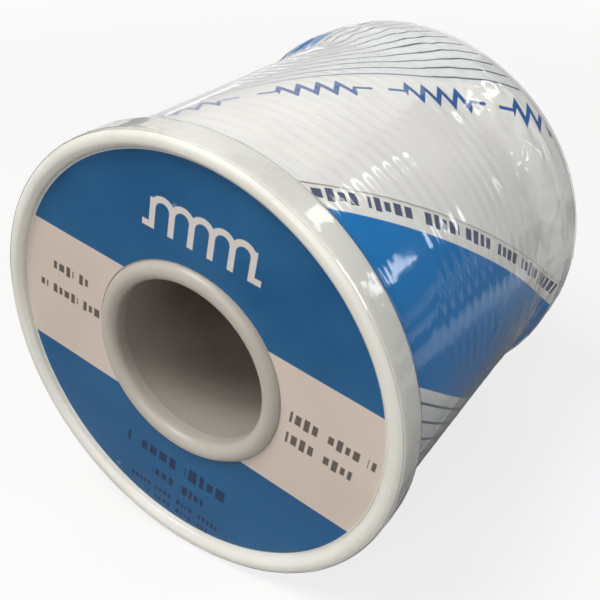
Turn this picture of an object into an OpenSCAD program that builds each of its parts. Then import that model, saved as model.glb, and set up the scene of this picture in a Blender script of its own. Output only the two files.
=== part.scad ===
// Half-kilogram spool of flux-cored solder wire, sealed as sold.
// All sizes are in millimetres. The spool lies on its side: its axis is Y, +Z is up,
// the origin is at the middle of the bore, and the near face looks towards -Y.
// Each module is drawn upright, with the near face up, and lie_down() lays it on its side.

/* [Spool] */
// Outer diameter of both flanges
flange_d = 57; // [57:0.5:62]
// Clear width between the flanges, filled by the wire
inner_w = 44.5; // [36:0.5:60]
// Thickness of a flange's web
web_t = 3.7; // [3.2:0.1:5]
// Diameter of the bore through the whole spool
bore_d = 21.6; // [16:0.1:22]
// Outer diameter of the core that the wire is wound on
core_d = 25.8; // [24.8:0.1:26]
// Depth of the socket in each flange that takes the core's end
socket_depth = 2.2; // [1:0.1:2.4]

/* [Rim and collar] */
// Height of the rim's lip above the face label
lip_h = 1.1; // [0.9:0.05:1.2]
// Radius of the rounding on the lip's crest
lip_round = 1; // [0.8:0.05:1]
// Radius of the rounding on the rim's back edge
back_round = 0.8; // [0.4:0.1:1]
// Outer diameter of the collar round the bore's mouth
collar_d = 26.3; // [26.2:0.1:26.4]
// Height of the collar above the face label
collar_h = 0.85; // [0.5:0.05:1.2]

/* [Wire] */
// Diameter of the solder wire
wire_d = 2; // [1.6:0.05:2]
// Diameter of the flux core inside the wire
flux_d = 0.8; // [0.4:0.05:1]
// Number of layers in the winding
layers = 8; // [4:1:8]
// Bend radius where the wire starts through the core's slot
start_bend = 1.6; // [1.3:0.1:1.8]
// Angle round the core at which the wire starts
start_turn = 120; // [0:5:355]
// Angle round the winding at which the wire ends
end_turn = 250; // [0:5:355]

/* [Labels and wrapper] */
// Diameter of the printed face label
label_d = 52.4; // [50:0.1:52.6]
// Diameter of the hole in the face label
label_hole_d = 26.6; // [26.5:0.1:27]
// Thickness of the face label
label_t = 0.12; // [0.08:0.01:0.2]
// Thickness of the printed wrapper paper
paper_t = 0.1; // [0.06:0.01:0.12]
// Overlap of the wrapper's two ends, measured round the spool
overlap_w = 7; // [3:0.5:12]
// Angle of the overlap's free edge, halfway along the spool
overlap_turn = 23; // [0:1:359]
// Slant of the overlap's free edge from the spool's axis
overlap_slant = 38; // [0:1:45]
// Thickness of the tape that holds the wire's outer end
tape_t = 0.04; // [0.03:0.01:0.06]
// Width of that tape
tape_w = 10; // [5:0.5:20]
// Thickness of the clear film shrunk over everything
film_t = 0.08; // [0.04:0.01:0.1]
// Angle by which the film curls over each lip
film_curl = 30; // [0:5:60]

/* [Hidden] */
$fn = 96;
wire_fn = 24; // fineness of a wire's own round section, where its end shows
layer_fn = 12; // sides of a turn's section inside the winding
overlap = 1; // extra length of a cutting shape past the face it cuts

flange_r = flange_d / 2;
bore_r = bore_d / 2;
core_r = core_d / 2;
collar_r = collar_d / 2;
wire_r = wire_d / 2;

// Heights are measured from the middle of the spool, radii from its axis.
wall_z = inner_w / 2; // inner face of a flange
label_z = wall_z + web_t; // top of a face label
core_len = inner_w + 2 * socket_depth;

// The rim, in a flange's own section, where height 0 is the top of its label.
seat_r = label_d / 2 + 0.2; // edge of the shallow seat that the label lies in
land_cut = 0.05; // how much the crest's land takes off the rounding
lip_c = [flange_r - lip_round, lip_h + land_cut - lip_round]; // centre of the lip's rounding
back_c = [flange_r - back_round, back_round - web_t]; // centre of the back edge's rounding
ramp_turn = 135; // where the lip's rounding runs into the ramp down to the seat
ramp_top = lip_c + lip_round * [cos(ramp_turn), sin(ramp_turn)];
ramp_foot = [seat_r, ramp_top[1] + (ramp_top[0] - seat_r) / tan(ramp_turn)];
land_turn = asin((lip_h - lip_c[1]) / lip_round); // where the crest's narrow flat land begins
collar_round = (collar_r - bore_r) / 2; // the collar's end is a full round
collar_c = [bore_r + collar_round, collar_h - collar_round];

// The winding: turns of neighbouring layers lie in each other's grooves.
lay_gap = 0.02; // play between one layer and the next
turns = floor(inner_w / wire_d - 0.5);
turn_pitch = inner_w / (turns + 0.5);
layer_pitch = sqrt(pow(wire_d, 2) - pow(turn_pitch / 2, 2)) + lay_gap;
first_z = wall_z - turn_pitch / 2; // first turn of a layer that starts at the near flange
first_r = core_r + lay_gap + wire_r;
winding_r = first_r + (layers - 1) * layer_pitch + wire_r;
function layer_r(k) = first_r + (k - 1) * layer_pitch;
function turn_z(k, j) = first_z - j * turn_pitch - (k % 2 == 0 ? turn_pitch / 2 : 0);
start_z = turn_z(1, turns - 1); // the turn that the wire starts with
end_z = turn_z(layers, turns - 1); // the turn that the wire ends with
end_sweep = 340; // how far round the first and last turns run
start_leg_x = bore_r + 0.4; // inner end of the leg that stands in the core's slot

// The wrapper and the film outside it.
play = 0.01; // play between the tape, the wrapper and the film
side_play = 0.2; // play between the wrapper and each flange
tape_r = winding_r + play;
wrap_r = tape_r + tape_t + play;
wrap_out_r = wrap_r + paper_t;
flap_r = wrap_out_r + paper_t;
film_r = flap_r + play;
film_foot_z = wall_z - 1.9; // where the film leaves the wrapper and climbs to the rim
tape_sweep = 42; // how far round the tape reaches
tape_z = -wall_z + side_play;

// Lays an upright shape on its side: its +Z becomes the spool's -Y, its +Y becomes +Z.
module lie_down() {
    rotate([90, 0, 0]) children();
}

// Points of an arc about c, from angle a to angle b.
function arc(c, r, a, b, steps = 6) =
    [for (i = [0:steps]) c + r * [cos(a + (b - a) * i / steps), sin(a + (b - a) * i / steps)]];

// A plain ring between two radii and two heights.
module ring(r_in, r_out, z_low, z_high) {
    rotate_extrude() translate([r_in, z_low]) square([r_out - r_in, z_high - z_low]);
}

// ---- the moulded spool ----

module core_tube() {
    color("gainsboro") lie_down() difference() {
        cylinder(r = core_r, h = core_len, center = true);
        cylinder(r = bore_r, h = core_len + 2 * overlap, center = true);
        wire_slot();
    }
}

// The slot through the core's wall that the first bend of the wire drops into.
module wire_slot() {
    play_round = 0.12;
    low_y = -start_bend - wire_r - play_round;
    rotate(start_turn) translate([bore_r - overlap, low_y, start_z - wire_r - play_round])
        cube([core_r - bore_r + 2 * overlap, play_round - low_y, wire_d + 2 * play_round]);
}

// Half section of a flange: radius across, height up, the label's top at height 0.
module flange_section() {
    polygon(concat(
        [[core_r, -web_t]],
        arc(back_c, back_round, -90, 0),
        arc(lip_c, lip_round, 0, land_turn),
        arc(lip_c, lip_round, 180 - land_turn, ramp_turn),
        [ramp_foot, [seat_r, -label_t], [collar_r, -label_t]],
        arc(collar_c, collar_round, 0, 180, 12),
        [[bore_r, socket_depth - web_t], [core_r, socket_depth - web_t]]
    ));
}

module flange() {
    translate([0, 0, label_z]) rotate_extrude() flange_section();
}

module near_flange() {
    color("ivory") lie_down() flange();
}

module far_flange() {
    color("ivory") lie_down() mirror([0, 0, 1]) flange();
}

// ---- the printed face labels ----

module face_label() {
    ring(label_hole_d / 2, label_d / 2, label_z - label_t, label_z);
}

module near_face_label() {
    color("steelblue") lie_down() face_label();
}

module far_face_label() {
    color("steelblue") lie_down() mirror([0, 0, 1]) face_label();
}

// ---- the solder wire ----

// Layer k, each turn a ring. The first and the last turn of the wire are nodes of their own.
module wire_layer(k) {
    open_end = k == 1 || k == layers;
    color("silver") lie_down() for (j = [0:turns - (open_end ? 2 : 1)])
        rotate_extrude() translate([layer_r(k), turn_z(k, j)]) circle(r = wire_r, $fn = layer_fn);
}

// Round section of the alloy, with the flux core's hole through it.
module alloy_section() {
    difference() {
        circle(d = wire_d, $fn = wire_fn);
        circle(d = flux_d, $fn = wire_fn);
    }
}

module flux_section() {
    circle(d = flux_d, $fn = wire_fn);
}

// The first turn: its section swept round the core, bent inwards and run down into the slot.
module first_turn() {
    leg = first_r - start_bend - start_leg_x;
    rotate(start_turn) translate([0, 0, start_z]) {
        rotate_extrude(angle = end_sweep) translate([first_r, 0]) children();
        translate([first_r - start_bend, 0, 0]) rotate(-90)
            rotate_extrude(angle = 90) translate([start_bend, 0]) children();
        translate([start_leg_x, -start_bend, 0]) rotate([0, 90, 0]) linear_extrude(leg) children();
    }
}

// The last turn: its section swept round the outside, ending in a plain cut.
module last_turn() {
    rotate(end_turn) translate([0, 0, end_z])
        rotate_extrude(angle = end_sweep) translate([layer_r(layers), 0]) children();
}

module wire_start() {
    color("silver") lie_down() first_turn() alloy_section();
}

module flux_core_start() {
    color("goldenrod") lie_down() first_turn() flux_section();
}

module wire_end() {
    color("silver") lie_down() last_turn() alloy_section();
}

module flux_core_end() {
    color("goldenrod") lie_down() last_turn() flux_section();
}

// A strip of tape over the wire's cut end.
module end_tape() {
    color("wheat") lie_down() rotate(end_turn - tape_sweep / 2) rotate_extrude(angle = tape_sweep)
        translate([tape_r, tape_z]) square([tape_t, tape_w]);
}

// ---- the printed wrapper and the clear film ----

// One sheet round the winding, doubled where its ends overlap.
module wrapper_sheet() {
    sheet_h = inner_w - 2 * side_play;
    color("aliceblue") lie_down() difference() {
        ring(wrap_r, flap_r, -sheet_h / 2, sheet_h / 2);
        difference() {
            ring(wrap_out_r, flap_r + overlap, -sheet_h, sheet_h);
            rotate(overlap_turn) overlap_slab();
        }
    }
}

// The slanted slab within which the wrapper lies double.
module overlap_slab() {
    rotate([-overlap_slant, 0, 0]) translate([0, 0, -inner_w])
        cube([flap_r + 2 * overlap, overlap_w * cos(overlap_slant), 2 * inner_w]);
}

// Half of the film's inner face, from the lip to its foot, or of its outer face where grow is film_t.
function film_path(grow) =
    let (
        foot = [film_r + grow, film_foot_z],
        lip_r = lip_round + play + grow,
        back_r = back_round + play + grow,
        lip = [lip_c[0], label_z + lip_c[1]],
        back = [back_c[0], label_z + back_c[1]],
        reach = back - foot,
        climb = atan2(reach[0], reach[1]) + asin(back_r / norm(reach))
    )
    concat(arc(lip, lip_r, film_curl, 0), arc(back, back_r, 0, -climb), [foot]);

function reversed(points) = [for (i = [len(points) - 1:-1:0]) points[i]];
function mirrored(points) = [for (p = reversed(points)) [p[0], -p[1]]];

module shrink_film() {
    inner = film_path(0);
    outer = film_path(film_t);
    color("azure", 0.35) lie_down() rotate_extrude()
        polygon(concat(inner, mirrored(inner), reversed(mirrored(outer)), reversed(outer)));
}

core_tube();
near_flange();
far_flange();
near_face_label();
far_face_label();
for (k = [1:layers]) wire_layer(k);
wire_start();
wire_end();
flux_core_start();
flux_core_end();
end_tape();
wrapper_sheet();
shrink_film();
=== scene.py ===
import math

import bpy
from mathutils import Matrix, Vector, noise


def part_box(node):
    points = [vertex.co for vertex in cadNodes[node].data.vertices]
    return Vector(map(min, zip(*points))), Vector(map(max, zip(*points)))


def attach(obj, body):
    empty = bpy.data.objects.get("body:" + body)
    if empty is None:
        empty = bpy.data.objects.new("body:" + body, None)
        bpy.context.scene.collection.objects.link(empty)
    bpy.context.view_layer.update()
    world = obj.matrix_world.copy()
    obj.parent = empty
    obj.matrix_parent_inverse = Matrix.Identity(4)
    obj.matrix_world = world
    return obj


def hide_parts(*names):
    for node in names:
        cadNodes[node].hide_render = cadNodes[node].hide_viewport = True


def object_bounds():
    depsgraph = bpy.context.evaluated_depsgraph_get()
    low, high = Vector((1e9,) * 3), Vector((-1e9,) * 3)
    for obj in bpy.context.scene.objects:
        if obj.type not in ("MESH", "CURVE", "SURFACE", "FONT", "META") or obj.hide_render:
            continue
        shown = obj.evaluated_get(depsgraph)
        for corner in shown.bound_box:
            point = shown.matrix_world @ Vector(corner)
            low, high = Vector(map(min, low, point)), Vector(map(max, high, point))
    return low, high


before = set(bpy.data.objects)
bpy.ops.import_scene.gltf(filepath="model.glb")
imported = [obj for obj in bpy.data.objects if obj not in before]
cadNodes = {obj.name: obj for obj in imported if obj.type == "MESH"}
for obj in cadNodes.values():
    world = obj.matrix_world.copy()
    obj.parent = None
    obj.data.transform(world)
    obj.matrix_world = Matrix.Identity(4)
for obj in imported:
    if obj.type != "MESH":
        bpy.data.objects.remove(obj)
cadLow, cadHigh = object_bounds()
print("frame loaded:", len(cadNodes), "nodes")

mm = 0.001
nearLabelLow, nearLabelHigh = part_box("near_face_label")
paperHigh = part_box("wrapper_sheet")[1]
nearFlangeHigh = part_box("near_flange")[1]

labelPlane = -nearLabelLow.y / mm     # distance of each label's face from the middle
flangeRadius = nearFlangeHigh.x / mm
paperReach = paperHigh.y / mm         # distance of the paper's edges from the middle


# camera and light

cameraSetup = {
    "place": Vector((56.5, -88.2, 60.0)) * mm,
    "turn": 33.2,     # degrees from +Y towards -X
    "dip": 27.8,      # degrees below level
    "lens": 52.66,
    "shiftY": -0.1,
}


def addCamera():
    tilt = math.radians(90 - cameraSetup["dip"])
    turn = math.radians(cameraSetup["turn"])
    bpy.ops.object.camera_add(location=cameraSetup["place"], rotation=(tilt, 0, turn))
    camera = bpy.context.object
    camera.name = "camera"
    camera.data.lens = cameraSetup["lens"]
    camera.data.shift_y = cameraSetup["shiftY"]
    camera.data.clip_start = 0.005
    camera.data.clip_end = 20
    bpy.context.scene.camera = camera


lampSetup = {
    "topLamp": {"place": (-0.12, -0.20, 0.41), "size": (0.20, 0.20), "watts": 1.46, "tint": (1.0, 0.98, 0.94)},
    "frontLamp": {"place": (0.10, -0.45, 0.25), "size": (0.30, 0.30), "watts": 0.85, "tint": (1.0, 0.95, 0.90)},
    "rightLamp": {"place": (0.42, 0.05, 0.27), "size": (0.16, 0.16), "watts": 0.45, "tint": (1.0, 1.0, 1.0)},
    "highGlint": {"place": (0.15, 0.37, 0.31), "size": (0.04, 0.08), "watts": 0.042, "tint": (1.0, 0.99, 0.95)},
    "lowGlint": {"place": (0.33, 0.38, 0.13), "size": (0.03, 0.06), "watts": 0.028, "tint": (0.97, 0.99, 1.0)},
    "backFill": {"place": (-0.24, 0.50, 0.20), "size": (0.50, 0.50), "watts": 0.42, "tint": (1.0, 0.98, 0.95)},
}
roomLevel = 0.205     # brightness of the room on the object; its own white is what the camera sees
mirroredShare = 0.65     # how bright the room is for what mirrors it


def addLamps():
    for name, lamp in lampSetup.items():
        place = Vector(lamp["place"])
        bpy.ops.object.light_add(type="AREA", location=place)
        light = bpy.context.object
        light.name = name
        light.rotation_euler = (-place).to_track_quat("-Z", "Y").to_euler()
        light.data.shape = "RECTANGLE"
        light.data.size, light.data.size_y = lamp["size"]
        light.data.energy = lamp["watts"]
        light.data.color = lamp["tint"]


def seenDirectly(tree):
    # 1 for rays that show the background: the camera's, and those straight through the film
    path = tree.nodes.new("ShaderNodeLightPath")
    bounces = math2(tree, "ADD", path.outputs["Diffuse Depth"], path.outputs["Glossy Depth"])
    unscattered = math2(tree, "LESS_THAN", bounces, 0.5)
    through = math2(tree, "MULTIPLY", path.outputs["Is Transmission Ray"], unscattered)
    return math2(tree, "MAXIMUM", path.outputs["Is Camera Ray"], through)


def seenMirrored(tree):
    # 1 for rays that a shiny surface has mirrored
    path = tree.nodes.new("ShaderNodeLightPath")
    return math2(tree, "GREATER_THAN", path.outputs["Glossy Depth"], 0.5)


def setWorld():
    world = bpy.data.worlds.new("room")
    world.use_nodes = True
    bpy.context.scene.world = world
    tree = world.node_tree
    background = tree.nodes["Background"]
    background.inputs["Color"].default_value = (1, 1, 1, 1)
    level = math3(tree, "MULTIPLY_ADD", seenMirrored(tree), (mirroredShare - 1) * roomLevel, roomLevel)
    strength = math2(tree, "MAXIMUM", seenDirectly(tree), level)
    tree.links.new(strength, background.inputs["Strength"])


# shader helpers

def setInput(tree, socket, value):
    if isinstance(value, bpy.types.NodeSocket):
        tree.links.new(value, socket)
    else:
        socket.default_value = value


def mathNode(tree, operation, values, clamp=False):
    node = tree.nodes.new("ShaderNodeMath")
    node.operation = operation
    node.use_clamp = clamp
    for socket, value in zip(node.inputs, values):
        setInput(tree, socket, value)
    return node.outputs[0]


def math2(tree, operation, a, b):
    return mathNode(tree, operation, (a, b))


def math3(tree, operation, a, b, c):
    return mathNode(tree, operation, (a, b, c))


def smoothStep(tree, value, low, high):
    node = tree.nodes.new("ShaderNodeMapRange")
    node.interpolation_type = "SMOOTHSTEP"
    setInput(tree, node.inputs["Value"], value)
    setInput(tree, node.inputs["From Min"], low)
    setInput(tree, node.inputs["From Max"], high)
    return node.outputs["Result"]


def mixColour(tree, mask, a, b):
    node = tree.nodes.new("ShaderNodeMix")
    node.data_type = "RGBA"
    setInput(tree, node.inputs[0], mask)
    for socket, value in ((node.inputs[6], a), (node.inputs[7], b)):
        setInput(tree, socket, value if isinstance(value, bpy.types.NodeSocket) else (*value, 1))
    return node.outputs[2]


def dotWith(tree, vector, direction):
    node = tree.nodes.new("ShaderNodeVectorMath")
    node.operation = "DOT_PRODUCT"
    tree.links.new(vector, node.inputs[0])
    node.inputs[1].default_value = direction
    return node.outputs["Value"]


def radiusOf(tree, coords, spread=(1, 0, 1)):
    flat = tree.nodes.new("ShaderNodeVectorMath")
    flat.operation = "MULTIPLY"
    flat.inputs[1].default_value = spread
    tree.links.new(coords, flat.inputs[0])
    length = tree.nodes.new("ShaderNodeVectorMath")
    length.operation = "LENGTH"
    tree.links.new(flat.outputs[0], length.inputs[0])
    return length.outputs["Value"]


def noiseOf(tree, vector, scale, detail=2, roughness=0.5, stretch=None):
    if stretch:
        mapping = tree.nodes.new("ShaderNodeMapping")
        mapping.inputs["Scale"].default_value = stretch
        tree.links.new(vector, mapping.inputs["Vector"])
        vector = mapping.outputs["Vector"]
    node = tree.nodes.new("ShaderNodeTexNoise")
    tree.links.new(vector, node.inputs["Vector"])
    node.inputs["Scale"].default_value = scale
    node.inputs["Detail"].default_value = detail
    node.inputs["Roughness"].default_value = roughness
    return node.outputs["Fac"]


def bumpOf(tree, height, distance, strength=1):
    node = tree.nodes.new("ShaderNodeBump")
    node.inputs["Strength"].default_value = strength
    node.inputs["Distance"].default_value = distance
    tree.links.new(height, node.inputs["Height"])
    return node.outputs["Normal"]


def newMaterial(name, **values):
    material = bpy.data.materials.new(name)
    material.use_nodes = True
    shader = material.node_tree.nodes["Principled BSDF"]
    for socket, value in values.items():
        shader.inputs[socket.replace("_", " ")].default_value = value
    return material, material.node_tree, shader


def objectCoords(tree):
    return tree.nodes.new("ShaderNodeTexCoord").outputs["Object"]


# node groups shared by several finishes

def newGroup(name, inputs, outputs):
    group = bpy.data.node_groups.new(name, "ShaderNodeTree")
    for kind, sockets in (("INPUT", inputs), ("OUTPUT", outputs)):
        for label, socketType, default in sockets:
            socket = group.interface.new_socket(name=label, in_out=kind, socket_type=socketType)
            if kind == "INPUT" and default is not None:
                socket.default_value = default
    return group, group.nodes.new("NodeGroupInput").outputs, group.nodes.new("NodeGroupOutput").inputs


def useGroup(tree, group, **values):
    node = tree.nodes.new("ShaderNodeGroup")
    node.node_tree = group
    for label, value in values.items():
        setInput(tree, node.inputs[label], value)
    return node.outputs


def makeStripGroup():
    # a soft-edged strip between two values
    group, given, out = newGroup(
        "printedStrip",
        [("Value", "NodeSocketFloat", 0), ("Low", "NodeSocketFloat", 0), ("High", "NodeSocketFloat", 1),
         ("Soft", "NodeSocketFloat", 0.1)],
        [("Mask", "NodeSocketFloat", None)],
    )
    rising = math2(group, "SUBTRACT", given["Value"], given["Low"])
    falling = math2(group, "SUBTRACT", given["High"], given["Value"])
    nearest = math2(group, "MINIMUM", rising, falling)
    scaled = math2(group, "DIVIDE", nearest, given["Soft"])
    group.links.new(mathNode(group, "ADD", (scaled, 0.5), clamp=True), out["Mask"])
    return group


def lineCells(group, place):
    cells = group.nodes.new("ShaderNodeTexVoronoi")
    cells.voronoi_dimensions = "1D"
    cells.inputs["Scale"].default_value = 1
    cells.inputs["Randomness"].default_value = 0.55
    group.links.new(place, cells.inputs["W"])
    return cells


def makeDashRowGroup():
    # a line of small blocks in groups, where a line of print would be
    group, given, out = newGroup(
        "dashRow",
        [("Along", "NodeSocketFloat", 0), ("Across", "NodeSocketFloat", 0), ("Start", "NodeSocketFloat", 0),
         ("End", "NodeSocketFloat", 1), ("Middle", "NodeSocketFloat", 0), ("Height", "NodeSocketFloat", 1),
         ("Pitch", "NodeSocketFloat", 1), ("Soft", "NodeSocketFloat", 0.1)],
        [("Mask", "NodeSocketFloat", None)],
    )
    masks, places = [], []
    # blocks, and the gaps between groups of them: share of the pitch, width of the gap, start of the pattern
    for pitchShare, gap, shift in ((1, 0.13, 0.3), (5.5, 0.075, 7.7)):
        pitch = math2(group, "MULTIPLY", given["Pitch"], pitchShare)
        place = math2(group, "ADD", math2(group, "DIVIDE", given["Along"], pitch), shift)
        cells = lineCells(group, place)
        cells.feature = "DISTANCE_TO_EDGE"
        edge = math2(group, "SUBTRACT", cells.outputs["Distance"], gap)
        softness = math2(group, "DIVIDE", given["Soft"], pitch)
        masks.append(mathNode(group, "DIVIDE", (edge, softness), clamp=True))
        places.append(place)
    masks.append(strip(group, given["Along"], given["Start"], given["End"], given["Soft"]))
    parts = group.nodes.new("ShaderNodeSeparateColor")
    group.links.new(lineCells(group, places[0]).outputs["Color"], parts.inputs["Color"])
    uneven = math3(group, "MULTIPLY_ADD", parts.outputs["Red"], 0.4, 0.7)     # blocks of uneven height
    half = math2(group, "MULTIPLY", math2(group, "MULTIPLY", given["Height"], 0.5), uneven)
    offset = mathNode(group, "ABSOLUTE", (math2(group, "SUBTRACT", given["Across"], given["Middle"]),))
    rise = math2(group, "DIVIDE", math2(group, "SUBTRACT", half, offset), given["Soft"])
    total = mathNode(group, "ADD", (rise, 0.5), clamp=True)
    for mask in masks:
        total = math2(group, "MULTIPLY", total, mask)
    group.links.new(total, out["Mask"])
    return group


def makeSpeckGroup():
    # sparse specks of dust or wear
    group, given, out = newGroup(
        "specks",
        [("Vector", "NodeSocketVector", None), ("Scale", "NodeSocketFloat", 500),
         ("Share", "NodeSocketFloat", 0.05), ("Reach", "NodeSocketFloat", 0.2)],
        [("Mask", "NodeSocketFloat", None)],
    )
    cells = group.nodes.new("ShaderNodeTexVoronoi")
    group.links.new(given["Vector"], cells.inputs["Vector"])
    group.links.new(given["Scale"], cells.inputs["Scale"])
    parts = group.nodes.new("ShaderNodeSeparateColor")
    group.links.new(cells.outputs["Color"], parts.inputs["Color"])
    chosen = math2(group, "LESS_THAN", parts.outputs["Red"], given["Share"])
    fade = smoothStep(group, cells.outputs["Distance"], given["Reach"], 0)
    group.links.new(math2(group, "MULTIPLY", chosen, fade), out["Mask"])
    return group


def makeGrainGroup():
    # fine grain over broad unevenness, about 0.5 all over
    group, given, out = newGroup(
        "grain",
        [("Vector", "NodeSocketVector", None), ("Fine", "NodeSocketFloat", 6000),
         ("Broad", "NodeSocketFloat", 150), ("Balance", "NodeSocketFloat", 0.5)],
        [("Height", "NodeSocketFloat", None), ("Cloud", "NodeSocketFloat", None)],
    )
    heights = []
    for scale, detail in ((given["Fine"], 3), (given["Broad"], 4)):
        node = group.nodes.new("ShaderNodeTexNoise")
        group.links.new(given["Vector"], node.inputs["Vector"])
        group.links.new(scale, node.inputs["Scale"])
        node.inputs["Detail"].default_value = detail
        heights.append(node.outputs["Fac"])
    mixed = group.nodes.new("ShaderNodeMix")
    group.links.new(given["Balance"], mixed.inputs[0])
    group.links.new(heights[0], mixed.inputs[2])
    group.links.new(heights[1], mixed.inputs[3])
    group.links.new(mixed.outputs[0], out["Height"])
    group.links.new(heights[1], out["Cloud"])
    return group


def strip(tree, value, low, high, soft):
    return useGroup(tree, stripGroup, Value=value, Low=low, High=high, Soft=soft)["Mask"]


stripGroup = makeStripGroup()
dashRowGroup = makeDashRowGroup()
speckGroup = makeSpeckGroup()
grainGroup = makeGrainGroup()


# finishes

inkBlue = (0.002, 0.195, 0.550)
inkNavy = (0.010, 0.022, 0.075)


def spoolPlastic():
    material, tree, shader = newMaterial(
        "spoolPlastic", Subsurface_Weight=0.5, Subsurface_Scale=0.0016, Subsurface_Radius=(1.0, 0.9, 0.75),
        IOR=1.49)
    coords = objectCoords(tree)
    grain = useGroup(tree, grainGroup, Vector=coords, Fine=2600.0, Broad=110.0, Balance=0.75)
    cloud = smoothStep(tree, grain["Cloud"], 0.35, 0.7)
    body = mixColour(tree, cloud, (0.80, 0.795, 0.745), (0.86, 0.855, 0.805))
    dirt = useGroup(tree, speckGroup, Vector=coords, Scale=420.0, Share=0.03, Reach=0.12)["Mask"]
    collar = smoothStep(tree, radiusOf(tree, coords), 13.6 * mm, 13.1 * mm)     # darker and greyer round the bore
    body = mixColour(tree, collar, body, (0.52, 0.485, 0.44))
    setInput(tree, shader.inputs["Base Color"], mixColour(tree, dirt, body, (0.42, 0.38, 0.32)))
    setInput(tree, shader.inputs["Roughness"], math3(tree, "MULTIPLY_ADD", cloud, 0.14, 0.27))
    setInput(tree, shader.inputs["Normal"], bumpOf(tree, grain["Height"], 0.00004, 0.6))
    return material


def corePlastic():
    # painted shade: darker deep in the bore, away from both mouths, where little light gets in; the thin wall
    # with the wire behind it darkens it too
    material, tree, shader = newMaterial(
        "corePlastic", Subsurface_Weight=0.15, Subsurface_Scale=0.001, IOR=1.49)
    coords = objectCoords(tree)
    depth = mathNode(tree, "ABSOLUTE", (dotWith(tree, coords, (0, 1, 0)),))
    mouth = smoothStep(tree, depth, 0.012, 0.0245)
    grain = useGroup(tree, grainGroup, Vector=coords, Fine=2400.0, Broad=160.0, Balance=0.7)
    cloud = smoothStep(tree, grain["Cloud"], 0.3, 0.7)
    # painted shade: the dark colours deep inside the bore
    inner = mixColour(tree, cloud, (0.225, 0.185, 0.16), (0.275, 0.23, 0.20))
    setInput(tree, shader.inputs["Base Color"], mixColour(tree, mouth, inner, (0.40, 0.37, 0.33)))
    setInput(tree, shader.inputs["Roughness"], math3(tree, "MULTIPLY_ADD", grain["Cloud"], 0.2, 0.3))
    setInput(tree, shader.inputs["Normal"], bumpOf(tree, grain["Height"], 0.00004, 0.5))
    return material


labelPrint = {
    "bandLow": -9.4, "bandHigh": 8.5,          # the white band across the label, mm from its middle
    "symbolLeft": -8.1, "symbolRight": 8.0, "symbolBase": 15.7,
    "humps": 5, "humpHeight": 4.1, "stroke": 0.8,
    "lead": 1.3, "symbolColour": (0.70, 0.66, 0.64),
    "blockColour": (0.035, 0.028, 0.026), "blockStrength": 0.85,
    # rows of blocks: start, end, middle, height, pitch
    "blackRows": [(-21.7, -15.7, 2.9, 1.5, 1.05), (-23.9, -13.5, -0.7, 1.4, 1.0),
                  (14.4, 25.3, 1.7, 1.55, 1.1), (14.4, 23.0, -1.4, 1.55, 1.1)],
    "navyRows": [(-7.6, 9.2, -17.1, 2.0, 1.5), (-3.2, 5.2, -20.5, 1.4, 1.05),
                 (-6.7, 8.6, -23.3, 0.85, 0.7), (-4.0, 6.4, -24.95, 0.8, 0.7)],
}


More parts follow.
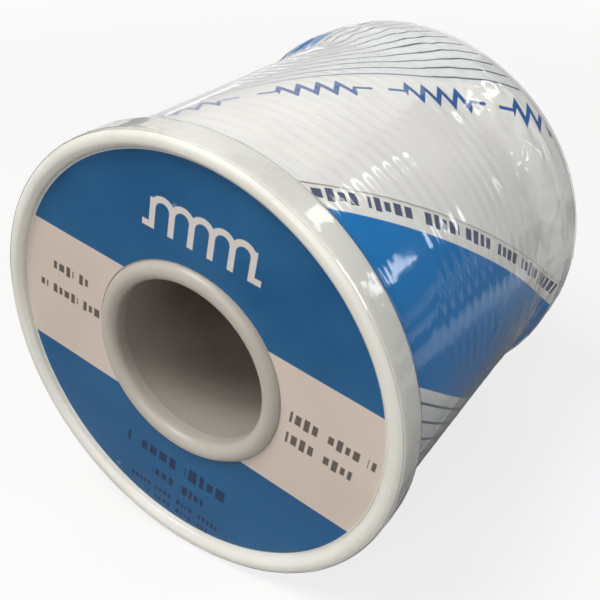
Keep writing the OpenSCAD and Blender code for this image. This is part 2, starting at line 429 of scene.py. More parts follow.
def faceLabelPrint(name, right, up):
    # right and up are the label's own directions in the spool's frame, seen face on
    material, tree, shader = newMaterial(name, IOR=1.5, Specular_IOR_Level=0.3)
    coords = objectCoords(tree)
    along = dotWith(tree, coords, [1000 * x for x in right])
    across = dotWith(tree, coords, [1000 * x for x in up])
    grain = useGroup(tree, grainGroup, Vector=coords, Fine=5200.0, Broad=95.0, Balance=0.6)
    cloud = smoothStep(tree, grain["Cloud"], 0.3, 0.72)

    paper = mixColour(tree, cloud, (0.665, 0.562, 0.500), (0.705, 0.605, 0.545))
    ink = mixColour(tree, cloud, (0.011, 0.098, 0.252), (0.020, 0.124, 0.296))
    band = strip(tree, across, labelPrint["bandLow"], labelPrint["bandHigh"], 0.12)
    colour = mixColour(tree, band, ink, paper)

    # a coil symbol: a row of arches between two leads
    span = labelPrint["symbolRight"] - labelPrint["symbolLeft"] - 2 * labelPrint["lead"]
    pitch = span / labelPrint["humps"]
    stroke = labelPrint["stroke"]
    fromLeft = math2(tree, "SUBTRACT", along, labelPrint["symbolLeft"] + labelPrint["lead"])
    nearHump = math2(tree, "MINIMUM", math2(tree, "MAXIMUM", fromLeft, 0.0), span - 0.001)
    inHump = math2(tree, "SUBTRACT", math3(tree, "WRAP", nearHump, pitch, 0.0), pitch / 2)
    height = math2(tree, "SUBTRACT", across, labelPrint["symbolBase"])
    straight = labelPrint["humpHeight"] - pitch / 2
    overSide = math2(tree, "MAXIMUM", math2(tree, "SUBTRACT", height, straight), 0.0)
    squares = math2(tree, "ADD", math2(tree, "MULTIPLY", inHump, inHump),
                    math2(tree, "MULTIPLY", overSide, overSide))
    offRing = math2(tree, "SUBTRACT", mathNode(tree, "SQRT", (squares,)), pitch / 2)
    humps = strip(tree, offRing, -stroke / 2, stroke / 2, 0.1)
    inRow = strip(tree, fromLeft, -stroke / 2, span + stroke / 2, 0.05)
    above = strip(tree, height, 0.0, 10.0, 0.1)
    humps = math2(tree, "MULTIPLY", math2(tree, "MULTIPLY", humps, inRow), above)
    fromEndToEnd = strip(tree, along, labelPrint["symbolLeft"], labelPrint["symbolRight"], 0.1)
    leads = math2(tree, "MULTIPLY", strip(tree, height, 0.0, stroke, 0.12),
                  math2(tree, "SUBTRACT", fromEndToEnd, inRow))
    colour = mixColour(tree, math2(tree, "MAXIMUM", humps, leads), colour, labelPrint["symbolColour"])

    for rows, tone in ((labelPrint["blackRows"], labelPrint["blockColour"]), (labelPrint["navyRows"], inkNavy)):
        for start, end, middle, rowHeight, rowPitch in rows:
            mask = useGroup(tree, dashRowGroup, Along=along, Across=across, Start=start, End=end, Middle=middle,
                            Height=rowHeight, Pitch=rowPitch, Soft=0.1)["Mask"]
            colour = mixColour(tree, math2(tree, "MULTIPLY", mask, labelPrint["blockStrength"]), colour, tone)

    # the paper's cut edge, and dust
    fromAxis = math2(tree, "MULTIPLY", radiusOf(tree, coords), 1000.0)
    cutEdge = strip(tree, fromAxis, nearLabelHigh.x / mm - 0.1, 40.0, 0.08)
    colour = mixColour(tree, cutEdge, colour, (0.80, 0.78, 0.74))
    dust = useGroup(tree, speckGroup, Vector=coords, Scale=300.0, Share=0.035, Reach=0.16)["Mask"]
    colour = mixColour(tree, math2(tree, "MULTIPLY", dust, 0.35), colour, (0.45, 0.55, 0.65))
    setInput(tree, shader.inputs["Base Color"], colour)
    setInput(tree, shader.inputs["Roughness"], math3(tree, "MULTIPLY_ADD", cloud, 0.12, 0.36))
    setInput(tree, shader.inputs["Normal"], bumpOf(tree, grain["Height"], 0.00003, 0.5))
    return material


# the wrapper's print, in mm: "slant" runs across the printed lines, measured round the spool at the near label
wrapperPrint = {
    "period": 90.1, "blueLow": 94.8, "blueHigh": 115.9,
    "lineTop": 92.9, "linePitch": 2.4, "lineCount": 11, "lineWidth": 0.38,
    "zigzagRow": 63.7, "zigzagHeight": 4.3, "zigzagColour": (0.020, 0.115, 0.36),
    # along the zigzag row: length of a unit, of the teeth in it, of the drawn line in it, and half a tooth
    "zigzagUnit": 17.0, "zigzagTeeth": (3.0, 13.0), "zigzagDrawn": (0.6, 15.4), "zigzagTooth": 1.25,
    "blockRow": 118.3, "blockHeight": 2.1, "blockPitch": 1.5, "blockColour": (0.006, 0.028, 0.12),
}


def wrapperPaperPrint(sheet):
    material, tree, shader = newMaterial("wrapperPrint", IOR=1.5, Specular_IOR_Level=0.12)
    coords = objectCoords(tree)
    uv = tree.nodes.new("ShaderNodeTexCoord").outputs["UV"]
    across = dotWith(tree, uv, (1, 0, 0))
    slant = math3(tree, "MULTIPLY_ADD", across, sheet["slantLength"], sheet["slantStart"])
    depth = math2(tree, "ADD", dotWith(tree, coords, (0, 1000, 0)), labelPlane)
    wrapped = math3(tree, "WRAP", slant, wrapperPrint["blueLow"] + wrapperPrint["period"] / 2,
                    wrapperPrint["blueLow"] - wrapperPrint["period"] / 2)
    arcWay = math3(tree, "MULTIPLY_ADD", depth, -sheet["lead"], slant)
    alongLine = math3(tree, "MULTIPLY_ADD", arcWay, -sheet["lead"], depth)
    alongLine = math2(tree, "DIVIDE", alongLine, math.hypot(1, sheet["lead"]))

    grain = useGroup(tree, grainGroup, Vector=coords, Fine=4200.0, Broad=120.0, Balance=0.6)
    cloud = smoothStep(tree, grain["Cloud"], 0.3, 0.7)
    colour = mixColour(tree, cloud, (0.88, 0.87, 0.84), (0.93, 0.92, 0.89))

    # eleven thin ruled lines on a faint tint, then the blue area
    ruledLow = wrapperPrint["lineTop"] - (wrapperPrint["lineCount"] - 0.5) * wrapperPrint["linePitch"]
    ruledHigh = wrapperPrint["lineTop"] + wrapperPrint["linePitch"] / 2
    ruled = strip(tree, wrapped, ruledLow, ruledHigh, 0.2)
    colour = mixColour(tree, math2(tree, "MULTIPLY", ruled, 0.5), colour, (0.72, 0.79, 0.83))
    fromLine = math2(tree, "SUBTRACT", wrapped, wrapperPrint["lineTop"])
    half = wrapperPrint["linePitch"] / 2
    fromLine = mathNode(tree, "ABSOLUTE", (math3(tree, "WRAP", fromLine, half, -half),))
    line = strip(tree, fromLine, -1.0, wrapperPrint["lineWidth"] / 2, 0.12)
    colour = mixColour(tree, math2(tree, "MULTIPLY", line, ruled), colour, (0.13, 0.155, 0.18))
    blue = strip(tree, wrapped, wrapperPrint["blueLow"], wrapperPrint["blueHigh"], 0.15)
    colour = mixColour(tree, blue, colour, mixColour(tree, cloud, inkBlue, (0.004, 0.215, 0.590)))

    # a row of zigzags between straight leads
    halfPeriod = wrapperPrint["period"] / 2
    inUnit = math3(tree, "WRAP", alongLine, wrapperPrint["zigzagUnit"], 0.0)
    tooth = mathNode(tree, "PINGPONG", (inUnit, wrapperPrint["zigzagTooth"]))
    reach = 0.4 * wrapperPrint["zigzagHeight"]
    tooth = math3(tree, "MULTIPLY_ADD", tooth, 2 * reach / wrapperPrint["zigzagTooth"], -reach)
    inTeeth = strip(tree, inUnit, *wrapperPrint["zigzagTeeth"], 0.02)
    lineHeight = math2(tree, "MULTIPLY", tooth, inTeeth)
    fromRow = math2(tree, "SUBTRACT", slant, wrapperPrint["zigzagRow"])
    fromRow = math3(tree, "WRAP", fromRow, halfPeriod, -halfPeriod)
    offLine = mathNode(tree, "ABSOLUTE", (math2(tree, "SUBTRACT", fromRow, lineHeight),))
    weight = math3(tree, "MULTIPLY_ADD", inTeeth, 0.75, 0.33)
    zigzag = mathNode(tree, "MULTIPLY_ADD", (math2(tree, "SUBTRACT", weight, offLine), 4.0, 0.5), clamp=True)
    shown = strip(tree, inUnit, *wrapperPrint["zigzagDrawn"], 0.1)
    colour = mixColour(tree, math2(tree, "MULTIPLY", zigzag, shown), colour, wrapperPrint["zigzagColour"])

    # a row of blocks beside the blue area
    fromBlue = math2(tree, "SUBTRACT", slant, wrapperPrint["blockRow"])
    fromBlue = math3(tree, "WRAP", fromBlue, halfPeriod, -halfPeriod)
    blocks = useGroup(tree, dashRowGroup, Along=alongLine, Across=fromBlue, Start=-200.0, End=200.0, Middle=0.0,
                      Height=wrapperPrint["blockHeight"], Pitch=wrapperPrint["blockPitch"], Soft=0.1)["Mask"]
    colour = mixColour(tree, math2(tree, "MULTIPLY", blocks, 0.9), colour, wrapperPrint["blockColour"])

    setInput(tree, shader.inputs["Base Color"], colour)
    setInput(tree, shader.inputs["Roughness"], math3(tree, "MULTIPLY_ADD", cloud, 0.15, 0.45))
    setInput(tree, shader.inputs["Normal"], bumpOf(tree, grain["Height"], 0.00003, 0.5))
    return material


filmFinish = {
    "lightLoss": 0.07,     # what the film keeps of the light that passes through it
    "crinkleScale": 420, "crinkleHeight": 0.06,     # the height in mm
    "crinkledFrom": -4.0, "crinkledTo": 18.0,       # where the crinkles grow, along the spool in mm
    "rimFrom": -21.5, "rimTo": -23.5,
}


def clearFilm():
    material, tree, shader = newMaterial(
        "clearFilm", Base_Color=(0.97, 0.98, 0.99, 1), Transmission_Weight=1.0, IOR=1.42)
    coords = objectCoords(tree)
    path = tree.nodes.new("ShaderNodeLightPath")
    scattered = math2(tree, "GREATER_THAN", path.outputs["Diffuse Depth"], 0.5)
    # light that only passes through isn't bent
    lighting = math2(tree, "MAXIMUM", path.outputs["Is Shadow Ray"], scattered)
    alpha = math3(tree, "MULTIPLY_ADD", lighting, filmFinish["lightLoss"] - 1, 1.0)
    setInput(tree, shader.inputs["Alpha"], alpha)
    haze = useGroup(tree, speckGroup, Vector=coords, Scale=700.0, Share=0.06, Reach=0.25)["Mask"]
    setInput(tree, shader.inputs["Roughness"], math3(tree, "MULTIPLY_ADD", haze, 0.2, 0.06))
    crinkle = tree.nodes.new("ShaderNodeTexNoise")
    crinkle.noise_type = "RIDGED_MULTIFRACTAL"
    tree.links.new(coords, crinkle.inputs["Vector"])
    crinkle.inputs["Scale"].default_value = filmFinish["crinkleScale"]
    crinkle.inputs["Detail"].default_value = 3
    # more crinkled towards the far end and over the rims
    depth = dotWith(tree, coords, (0, 1000, 0))
    farther = smoothStep(tree, depth, filmFinish["crinkledFrom"], filmFinish["crinkledTo"])
    onNearRim = smoothStep(tree, depth, filmFinish["rimFrom"], filmFinish["rimTo"])
    amount = math3(tree, "MULTIPLY_ADD", math2(tree, "MAXIMUM", farther, onNearRim), 0.8, 0.2)
    height = math2(tree, "MULTIPLY", crinkle.outputs["Fac"], amount)
    setInput(tree, shader.inputs["Normal"], bumpOf(tree, height, filmFinish["crinkleHeight"] * mm, 0.5))
    return material


def solderAlloy():
    material, tree, shader = newMaterial("solderAlloy", Metallic=1.0)
    coords = objectCoords(tree)
    streaks = noiseOf(tree, coords, 900, 3, 0.6, stretch=(1, 5, 1))
    tone = mixColour(tree, streaks, (0.52, 0.53, 0.55), (0.72, 0.73, 0.75))
    setInput(tree, shader.inputs["Base Color"], tone)
    setInput(tree, shader.inputs["Roughness"], math3(tree, "MULTIPLY_ADD", streaks, 0.25, 0.18))
    setInput(tree, shader.inputs["Normal"], bumpOf(tree, streaks, 0.00002, 0.5))
    return material


def rosinFlux():
    material, tree, shader = newMaterial("rosinFlux", IOR=1.53, Subsurface_Weight=0.4, Subsurface_Scale=0.0004)
    cloud = noiseOf(tree, objectCoords(tree), 1500, 3)
    setInput(tree, shader.inputs["Base Color"], mixColour(tree, cloud, (0.50, 0.23, 0.04), (0.72, 0.42, 0.12)))
    setInput(tree, shader.inputs["Roughness"], math3(tree, "MULTIPLY_ADD", cloud, 0.2, 0.1))
    return material


def adhesiveTape():
    material, tree, shader = newMaterial("adhesiveTape", IOR=1.48, Alpha=0.6)
    cloud = noiseOf(tree, objectCoords(tree), 600, 3, 0.6, stretch=(1, 3, 1))
    setInput(tree, shader.inputs["Base Color"], mixColour(tree, cloud, (0.76, 0.62, 0.38), (0.86, 0.76, 0.55)))
    setInput(tree, shader.inputs["Roughness"], math3(tree, "MULTIPLY_ADD", cloud, 0.15, 0.12))
    setInput(tree, shader.inputs["Normal"], bumpOf(tree, cloud, 0.00003, 0.5))
    return material


# modelling helpers

def clearSelection():
    if bpy.context.object and bpy.context.object.mode != "OBJECT":
        bpy.ops.object.mode_set(mode="OBJECT")
    bpy.ops.object.select_all(action="DESELECT")


def arc(centre, radius, start, end, steps):
    angles = [math.radians(start + (end - start) * i / steps) for i in range(steps + 1)]
    return [(centre[0] + radius * math.cos(a), centre[1] + radius * math.sin(a)) for a in angles]


def growRings(name, profile, sides):
    # grows a turned shape about Y from one ring: profile holds (radius, y) in mm, and closes on its first ring
    clearSelection()
    radius, height = profile[0]
    bpy.ops.mesh.primitive_circle_add(vertices=sides, radius=radius * mm, location=(0, height * mm, 0),
                                      rotation=(math.pi / 2, 0, 0))
    piece = bpy.context.object
    piece.name = piece.data.name = name
    bpy.ops.object.transform_apply(location=True, rotation=True, scale=True)
    bpy.ops.object.mode_set(mode="EDIT")
    bpy.ops.mesh.select_all(action="SELECT")
    for nextRadius, nextHeight in profile[1:]:
        bpy.ops.mesh.extrude_edges_move(TRANSFORM_OT_translate={"value": (0, (nextHeight - height) * mm, 0)})
        grow = nextRadius / radius
        bpy.ops.transform.resize(value=(grow, 1, grow), center_override=(0, nextHeight * mm, 0))
        radius, height = nextRadius, nextHeight
    bpy.ops.mesh.select_all(action="DESELECT")
    bpy.ops.mesh.select_non_manifold()
    bpy.ops.mesh.bridge_edge_loops()
    bpy.ops.mesh.select_all(action="SELECT")
    bpy.ops.mesh.normals_make_consistent(inside=False)
    bpy.ops.object.mode_set(mode="OBJECT")
    return piece


def softenRing(piece, radius, height, width, segments=3):
    # bevels the ring of edges at one radius and height, in mm
    clearSelection()
    bpy.context.view_layer.objects.active = piece
    piece.select_set(True)
    for polygon in piece.data.polygons:
        polygon.select = False
    reach = 0.02 * mm
    here = [abs(math.hypot(v.co.x, v.co.z) - radius * mm) < reach and abs(v.co.y - height * mm) < reach
            for v in piece.data.vertices]
    for vertex in piece.data.vertices:
        vertex.select = False
    for edge in piece.data.edges:
        edge.select = all(here[i] for i in edge.vertices)
    bpy.ops.object.mode_set(mode="EDIT")
    bpy.ops.mesh.select_mode(type="EDGE")
    bpy.ops.mesh.bevel(offset=width * mm, segments=segments, affect="EDGES", clamp_overlap=True)
    bpy.ops.mesh.select_mode(type="VERT")
    bpy.ops.object.mode_set(mode="OBJECT")


def smoothPiece(piece, angle=32):
    clearSelection()
    bpy.context.view_layer.objects.active = piece
    piece.select_set(True)
    bpy.ops.object.shade_smooth_by_angle(angle=math.radians(angle))


def rollSheet(name, columns, rows, place):
    # rolls a flat grid round the spool: place gives each point, in mm, from its two shares of the sheet
    clearSelection()
    bpy.ops.mesh.primitive_grid_add(x_subdivisions=columns, y_subdivisions=rows, size=2)
    sheet = bpy.context.object
    sheet.name = sheet.data.name = name
    for vertex in sheet.data.vertices:
        vertex.co = Vector(place((vertex.co.x + 1) / 2, (vertex.co.y + 1) / 2)) * mm
    return sheet


def giveThickness(piece, thickness):
    clearSelection()
    bpy.context.view_layer.objects.active = piece
    piece.select_set(True)
    bpy.ops.object.modifier_add(type="SOLIDIFY")
    solidify = piece.modifiers[-1]
    solidify.thickness = thickness * mm
    solidify.offset = 0
    bpy.ops.object.modifier_apply(modifier=solidify.name)


def faceOutwards(piece):
    clearSelection()
    bpy.context.view_layer.objects.active = piece
    piece.select_set(True)
    bpy.ops.object.mode_set(mode="EDIT")
    bpy.ops.mesh.select_all(action="SELECT")
    bpy.ops.mesh.normals_make_consistent(inside=False)
    bpy.ops.object.mode_set(mode="OBJECT")


def fit(piece, material, slotName, *replaced):
    piece.data.materials.clear()
    piece.data.materials.append(material)
    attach(piece, "root")
    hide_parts(*replaced)


def blendStep(low, high, value):
    share = min(1.0, max(0.0, (value - low) / (high - low)))
    return share * share * (3 - 2 * share)


# flanges

flangeShape = {
    "sides": 256,
    "web": 3.7, "backRound": 0.8, "lipRound": 1.0, "lipHeight": 1.1, "landCut": 0.05,
    "seatRadius": 26.4, "seatDepth": 0.12,
    "collarRadius": 13.15, "boreRadius": 10.8, "collarHeight": 0.85,
    "coreRadius": 12.9, "socketDepth": 2.2,
    "seatFillet": 0.16, "cornerFillet": 0.1, "collarFillet": 0.12,
}


def flangeProfile():
    # half section of a flange: radius, and height over the label's face
    shape = flangeShape
    lip = (flangeRadius - shape["lipRound"], shape["lipHeight"] + shape["landCut"] - shape["lipRound"])
    back = (flangeRadius - shape["backRound"], shape["backRound"] - shape["web"])
    landTurn = math.degrees(math.asin((shape["lipHeight"] - lip[1]) / shape["lipRound"]))
    rampTop = arc(lip, shape["lipRound"], 135, 135, 1)[0]
    rampFoot = (shape["seatRadius"], rampTop[1] - (rampTop[0] - shape["seatRadius"]))
    collarRound = (shape["collarRadius"] - shape["boreRadius"]) / 2
    collar = (shape["boreRadius"] + collarRound, shape["collarHeight"] - collarRound)
    socket = shape["socketDepth"] - shape["web"]
    profile = [(shape["coreRadius"], -shape["web"]), (20.0, -shape["web"])]
    profile += arc(back, shape["backRound"], -90, 0, 8)
    profile += [(flangeRadius, -1.4)]
    profile += arc(lip, shape["lipRound"], 0, landTurn, 9)
    profile += arc(lip, shape["lipRound"], 180 - landTurn, 135, 5)
    profile += [rampFoot, (shape["seatRadius"], -shape["seatDepth"]), (26.0, -shape["seatDepth"])]
    profile += [(20.0, -shape["seatDepth"]), (13.6, -shape["seatDepth"])]
    profile += [(shape["collarRadius"], -shape["seatDepth"])]
    profile += arc(collar, collarRound, 0, 180, 20)[1:]
    profile += [(shape["boreRadius"], -0.9), (shape["boreRadius"], socket), (shape["coreRadius"], socket)]
    return profile, rampFoot


def makeFlange(name, side, material, node):
    # side is -1 at the near end and 1 at the far end
    profile, rampFoot = flangeProfile()
    placed = [(radius, side * (labelPlane + height)) for radius, height in profile]
    flange = growRings(name, placed, flangeShape["sides"])
    seat = -flangeShape["seatDepth"]
    softenRing(flange, rampFoot[0], side * (labelPlane + rampFoot[1]), flangeShape["seatFillet"])
    softenRing(flange, flangeShape["seatRadius"], side * (labelPlane + seat), flangeShape["cornerFillet"], 2)
    softenRing(flange, flangeShape["collarRadius"], side * (labelPlane + seat), flangeShape["collarFillet"], 2)
    smoothPiece(flange)
    fit(flange, material, "spool_plastic", node)
    return flange


# face labels

labelShape = {
    "sides": 256, "rings": 12,
    "inner": 13.3, "outer": 26.2, "thickness": 0.12, "edge": 0.03,
    "wave": 0.035,     # how far the paper lifts in low waves, mm
}


def makeLabel(name, side, material, node):
    shape = labelShape
    inner, outer, edge = shape["inner"], shape["outer"], shape["edge"]
    width = outer - inner - 2 * edge
    steps = [inner + edge + width * i / shape["rings"] for i in range(shape["rings"] + 1)]
    profile = [(inner, -shape["thickness"]), (inner, -edge)]
    profile += [(radius, 0) for radius in steps]
    profile += [(outer, -edge), (outer, -shape["thickness"])]
    placed = [(radius, side * (labelPlane + height)) for radius, height in profile]
    label = growRings(name, placed, shape["sides"])
    for vertex in label.data.vertices:
        lift = shape["wave"] * (noise.noise(Vector((vertex.co.x, vertex.co.z, side)) / (7 * mm)) - 0.25)
        if side * vertex.co.y > (labelPlane - 0.06) * mm:
            vertex.co.y += side * lift * mm
    smoothPiece(label)
    fit(label, material, "face_label_print", node)
    return label


# printed wrapper

bandTurn = -11.3     # angle of the print's zero line round the spool, from +X towards +Z
windingPitch = 2.07

wrapperShape = {
    "columns": 330, "rows": 104,
    "radius": 27.15, "thickness": 0.06, "flapLift": 0.13, "flapPressed": 0.06, "edgeLift": 0.05,
    "paperRadius": 27.2,              # radius at which the print is measured
    "lead": 0.77,                     # how far the printed lines run along the spool for each mm round it
    "freeEdge": 39.0,                 # where the sheet begins, at the near label's face
    "overlap": 7.0,
    "ripple": 0.04,
    "dent": 0.42, "dentRoom": 0.75, "dentEnd": (21.3, 22.6),     # the dents' share of the room under them
    "farEdge": 25.2, "skew": 0.35,    # the sheet laps over the far rim, a little askew
    "climbFrom": 18.5, "climbTo": 22.6, "climb": 1.385,
    "looseTurn": 58.0, "looseReach": 50.0, "looseMore": 6.5,     # where it comes up earlier, and how much
}


def climbAt(turn, y):
    # how far paper and film stand off the winding on their way up to the far rim
    shape = wrapperShape
    away = (math.degrees(turn) - shape["looseTurn"] + 180) % 360 - 180
    begin = shape["climbFrom"] - shape["looseMore"] * math.exp(-(away / shape["looseReach"]) ** 2)
    return shape["climb"] * blendStep(begin, shape["climbTo"], y)


def ridged(point):
    # sharp crests between soft hollows, 0 to 1
    return (1 - min(1.0, 2.2 * abs(noise.noise(point)))) ** 2


def dentAt(turn, y):
    # soft dents where paper and film span the hollow before the far rim
    room = min(climbAt(turn, y), wrapperShape["dentRoom"]) * (1 - blendStep(*wrapperShape["dentEnd"], y))
    way = Vector((5.2 * math.cos(turn), 5.2 * math.sin(turn), y / 5))
    return -room * wrapperShape["dent"] * (1 - ridged(way)) * (0.7 + 0.6 * noise.noise(way * 2.3))


def rippleAt(turn, y):
    # the winding's turns show through where the wrapping is tight
    way = Vector((2.4 * math.cos(turn), 2.4 * math.sin(turn), y / 11 + 3.1))
    tight = blendStep(-0.42, 0.3, noise.noise(way))
    return tight * (1 - blendStep(8, 15, y)) * (0.5 - 0.5 * math.cos(2 * math.pi * y / windingPitch))


def wrapperPlace(across, along):
    shape = wrapperShape
    slant = shape["freeEdge"] + across * (2 * math.pi * shape["paperRadius"] + shape["overlap"])
    far = shape["farEdge"] + shape["skew"] * math.cos(2 * math.pi * across)
    y = -paperReach + along * (far + paperReach)
    turn = math.radians(bandTurn) + (slant - shape["lead"] * (y + labelPlane)) / shape["paperRadius"]
    past = slant - shape["freeEdge"]
    radius = shape["radius"] + climbAt(turn, y) + dentAt(turn, y) - shape["ripple"] * rippleAt(turn, y)
    doubled = 1 - blendStep(shape["overlap"] + 0.2, shape["overlap"] + 2.5, past)
    radius += (shape["flapLift"] - shape["flapPressed"] * blendStep(20, 22.5, y)) * doubled
    radius += shape["edgeLift"] * math.exp(-past / 1.2) * (0.5 + noise.noise(Vector((y / 6, 0, 0))))
    return radius * math.cos(turn), y, radius * math.sin(turn)


def makeWrapper():
    shape = wrapperShape
    sheet = {
        "slantStart": shape["freeEdge"], "slantLength": 2 * math.pi * shape["paperRadius"] + shape["overlap"],
        "lead": shape["lead"],
    }
    wrapper = rollSheet("wrapperSheet", shape["columns"], shape["rows"], wrapperPlace)
    giveThickness(wrapper, shape["thickness"])
    faceOutwards(wrapper)
    smoothPiece(wrapper)
    fit(wrapper, wrapperPaperPrint(sheet), "wrapper_print", "wrapper_sheet")
    return wrapper


# shrink film

filmShape = {
    "columns": 310, "step": 0.375, "thickness": 0.05,
    "radius": 27.47, "footReach": 21.3, "curl": 30,
    "gap": 0.04, "paperGap": 0.16,    # off the near rim, and off the far rim with the paper between
    "ripple": 0.07, "wave": 0.02, "pucker": 0.075,
    "fineNear": 0.012, "fineMore": 0.085,     # height of the fine waves, and what the loose end adds
    "creaseRadius": 27.4,     # radius at which the creases are measured
    # creases: first angle and y, last angle and y, height, width
    "creases": [
        (74, 25, 70, 12, 0.14, 0.6), (62, 22, 56, 14, 0.12, 0.6), (66, 9, 53, 7, 0.10, 0.5),
        (62, 12, 54, 10, 0.10, 0.5), (57, -17, 52, 7, 0.09, 1.0), (50, -10, 50, 4, 0.08, 0.9),
        (45, 7, 39, 9, 0.12, 0.5), (36, 8, 29, 10, 0.12, 0.5), (16, 21, 19, 9, 0.20, 0.8),
        (34, 23, 27, 20, 0.10, 0.5), (42, 20, 33, 14, 0.14, 0.6), (24, 22, 12, 17, 0.16, 0.8),
        (6, 3, -6, -4, 0.14, 0.6), (-6, -4, -12, -18, 0.10, 0.8), (100, 18, 88, 9, 0.12, 0.6),
        (130, 19, 118, 6, 0.12, 0.7), (170, 15, 160, 2, 0.12, 0.7), (215, 20, 205, 8, 0.14, 0.7),
        (260, 18, 248, 5, 0.12, 0.7), (300, 20, 292, 6, 0.14, 0.7), (335, 18, 322, 8, 0.12, 0.6),
    ],
}


def filmPath():
    # the film's run from the near lip to the far lip, as (radius, y) in mm at even steps
    shape, flange = filmShape, flangeShape
    ends = []
    for gap in (shape["gap"], shape["paperGap"]):
        lipHeight = labelPlane + flange["lipHeight"] + flange["landCut"] - flange["lipRound"]
        lip = (flangeRadius - flange["lipRound"], lipHeight)
        back = (flangeRadius - flange["backRound"], labelPlane + flange["backRound"] - flange["web"])
        over = gap + shape["thickness"] / 2
        ends.append(arc(lip, flange["lipRound"] + over, shape["curl"], 0, 6)
                    + arc(back, flange["backRound"] + over, 0, -38, 4)
                    + [(shape["radius"], shape["footReach"])])
    corners = [(radius, -y) for radius, y in ends[0]] + list(reversed(ends[1]))
    points = [corners[0]]
    for start, end in zip(corners, corners[1:]):
        length = math.dist(start, end)
        steps = max(1, round(length / shape["step"]))
        points += [(start[0] + (end[0] - start[0]) * i / steps, start[1] + (end[1] - start[1]) * i / steps)
                   for i in range(1, steps + 1)]
    return points


def creaseAt(turn, y):
    around = filmShape["creaseRadius"]
    total = 0.0
    for startTurn, startY, endTurn, endY, height, width in filmShape["creases"]:
        start = Vector((math.radians(startTurn) * around, startY))
        way = Vector((math.radians(endTurn) * around, endY)) - start
        point = Vector((turn % (2 * math.pi) * around, y)) - start
        if point.x > 150 + around * math.radians(startTurn):
            point.x -= 2 * math.pi * around
        share = min(1.0, max(0.0, point.dot(way) / way.length_squared))
        distance = (point - way * share).length
        if distance < 3 * width:
            total += height * math.exp(-(distance / width) ** 2) * (1 - 0.6 * abs(2 * share - 1))
    return total


def makeFilm():
    path = filmPath()
    rows = len(path) - 1

    def place(across, along):
        radius, y = path[round(along * rows)]
        turn = 2 * math.pi * across
        onBarrel = 1 - blendStep(22.0, 23.4, abs(y))
        overRim = flangeRadius + filmShape["paperGap"] + filmShape["thickness"] / 2 - filmShape["radius"]
        if y < 23:
            radius = max(radius, filmShape["radius"] + climbAt(turn, y) * overRim / wrapperShape["climb"])
        loose = blendStep(2, 15, y)
        way = Vector((math.cos(turn), math.sin(turn), 0))
        broad = noise.noise(Vector((*(way.xy * 4.5), y / 18)))
        fine = ridged(Vector((*(way.xy * 9), y / 4.5))) + 0.6 * ridged(Vector((*(way.xy * 21), y / 2.2)))
        lift = filmShape["wave"] * broad + (filmShape["fineNear"] + filmShape["fineMore"] * loose) * fine
        lift += creaseAt(turn, y) + dentAt(turn, y) - filmShape["ripple"] * rippleAt(turn, y)
        gathers = ridged(Vector((*(way.xy * 24), y / 2))) * ridged(Vector((*(way.xy * 9), y / 6)))
        pucker = filmShape["pucker"] * gathers
        radius += onBarrel * lift + (1 - onBarrel) * pucker
        return radius * math.cos(turn), y, radius * math.sin(turn)

    film = rollSheet("shrinkFilm", filmShape["columns"], rows, place)
    bpy.ops.object.mode_set(mode="EDIT")
    bpy.ops.mesh.select_all(action="SELECT")
    bpy.ops.mesh.remove_doubles(threshold=0.00001)
    bpy.ops.mesh.normals_make_consistent(inside=False)
    bpy.ops.object.mode_set(mode="OBJECT")
    giveThickness(film, filmShape["thickness"])
    smoothPiece(film, 60)
    fit(film, clearFilm(), "clear_film", "shrink_film")
    print("film faces:", len(film.data.polygons), "rows:", rows)
    return film


# the scene

floorFinish = {
    "dim": ((0.34, 0.34, 0.335), (0.37, 0.37, 0.365)),     # colours that it throws back on the spool
    "pale": (0.9, 0.9, 0.9),
    "glow": 0.74, "fade": (0.08, 0.45),     # share of plain white near the spool, and where it grows to 1
    "mottle": (0.14, 0.50), "mirroredPatch": 0.85,     # glow that mirrored rays see, for painted reflections
}


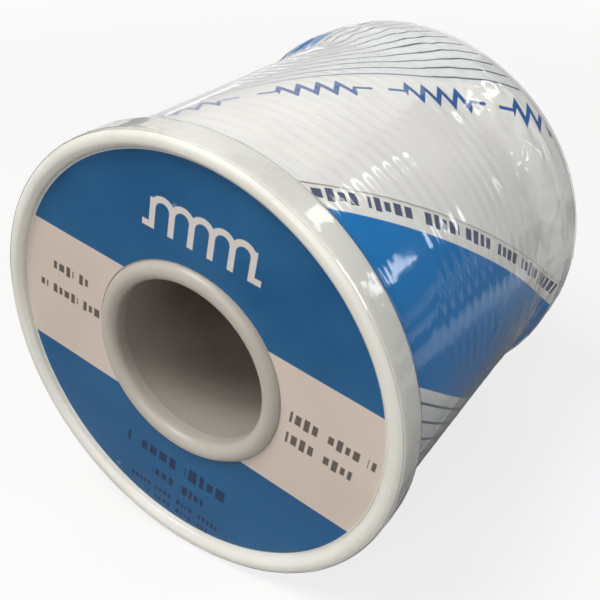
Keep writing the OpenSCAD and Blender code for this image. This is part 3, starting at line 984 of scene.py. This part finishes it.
def makeFloor():
    clearSelection()
    bpy.ops.mesh.primitive_plane_add(size=6, location=(0, 0, cadLow.z - 0.0002))
    floor = bpy.context.object
    floor.name = "floor"
    material, tree, shader = newMaterial("floorPale", Roughness=0.9)
    cloud = noiseOf(tree, objectCoords(tree), 30, 2)
    dim = mixColour(tree, cloud, *floorFinish["dim"])
    setInput(tree, shader.inputs["Base Color"], mixColour(tree, seenDirectly(tree), dim, floorFinish["pale"]))
    glow = tree.nodes.new("ShaderNodeEmission")
    mix = tree.nodes.new("ShaderNodeMixShader")
    # its shadow fades into the white room with distance
    coords = objectCoords(tree)
    outwards = smoothStep(tree, radiusOf(tree, coords, (1, 1, 0)), *floorFinish["fade"])
    glowShare = math3(tree, "MULTIPLY_ADD", outwards, 1 - floorFinish["glow"], floorFinish["glow"])
    # painted reflections: for mirrored rays the floor glows in a mottled pattern, with a bright patch behind
    # the spool on its left
    mottle = smoothStep(tree, noiseOf(tree, coords, 11, 1), 0.44, 0.58)
    onLeft = smoothStep(tree, dotWith(tree, coords, (1, 0, 0)), -0.02, -0.06)
    behind = smoothStep(tree, dotWith(tree, coords, (0, 1, 0)), -0.01, 0.02)
    mirroredPatch = math2(tree, "MULTIPLY", math2(tree, "MULTIPLY", onLeft, behind), floorFinish["mirroredPatch"])
    low, high = floorFinish["mottle"]
    mirrored = math2(tree, "MAXIMUM", math3(tree, "MULTIPLY_ADD", mottle, high - low, low), mirroredPatch)
    strength = math2(tree, "MAXIMUM", seenDirectly(tree), mirrored)
    setInput(tree, glow.inputs["Strength"], strength)
    glowing = math2(tree, "MULTIPLY", seenDirectly(tree), glowShare)
    setInput(tree, mix.inputs[0], math2(tree, "MAXIMUM", glowing, seenMirrored(tree)))
    tree.links.new(shader.outputs[0], mix.inputs[1])
    tree.links.new(glow.outputs[0], mix.inputs[2])
    tree.links.new(mix.outputs[0], tree.nodes["Material Output"].inputs["Surface"])
    floor.data.materials.append(material)


def dressNodes():
    finishes = {"wire_": solderAlloy(), "flux_": rosinFlux(), "end_tape": adhesiveTape(),
                "core_tube": corePlastic()}
    for name, node in cadNodes.items():
        for start, material in finishes.items():
            if name.startswith(start):
                node.data.materials.clear()
                node.data.materials.append(material)


clearSelection()
addCamera()
addLamps()
setWorld()
makeFloor()
print("camera, lamps and floor: done")

plastic = spoolPlastic()
makeFlange("nearFlangeVisible", -1, plastic, "near_flange")
makeFlange("farFlangeVisible", 1, plastic, "far_flange")
print("flanges: done")

tilt = math.radians(bandTurn)
level, rise = math.cos(tilt), math.sin(tilt)
nearPrint = faceLabelPrint("nearLabelPrint", (level, 0, rise), (-rise, 0, level))
farPrint = faceLabelPrint("farLabelPrint", (-level, 0, rise), (rise, 0, level))
makeLabel("nearLabel", -1, nearPrint, "near_face_label")
makeLabel("farLabel", 1, farPrint, "far_face_label")
print("labels: done")

makeWrapper()
print("wrapper: done")
makeFilm()
print("film: done")
dressNodes()

bpy.context.scene.view_settings.view_transform = "Standard"
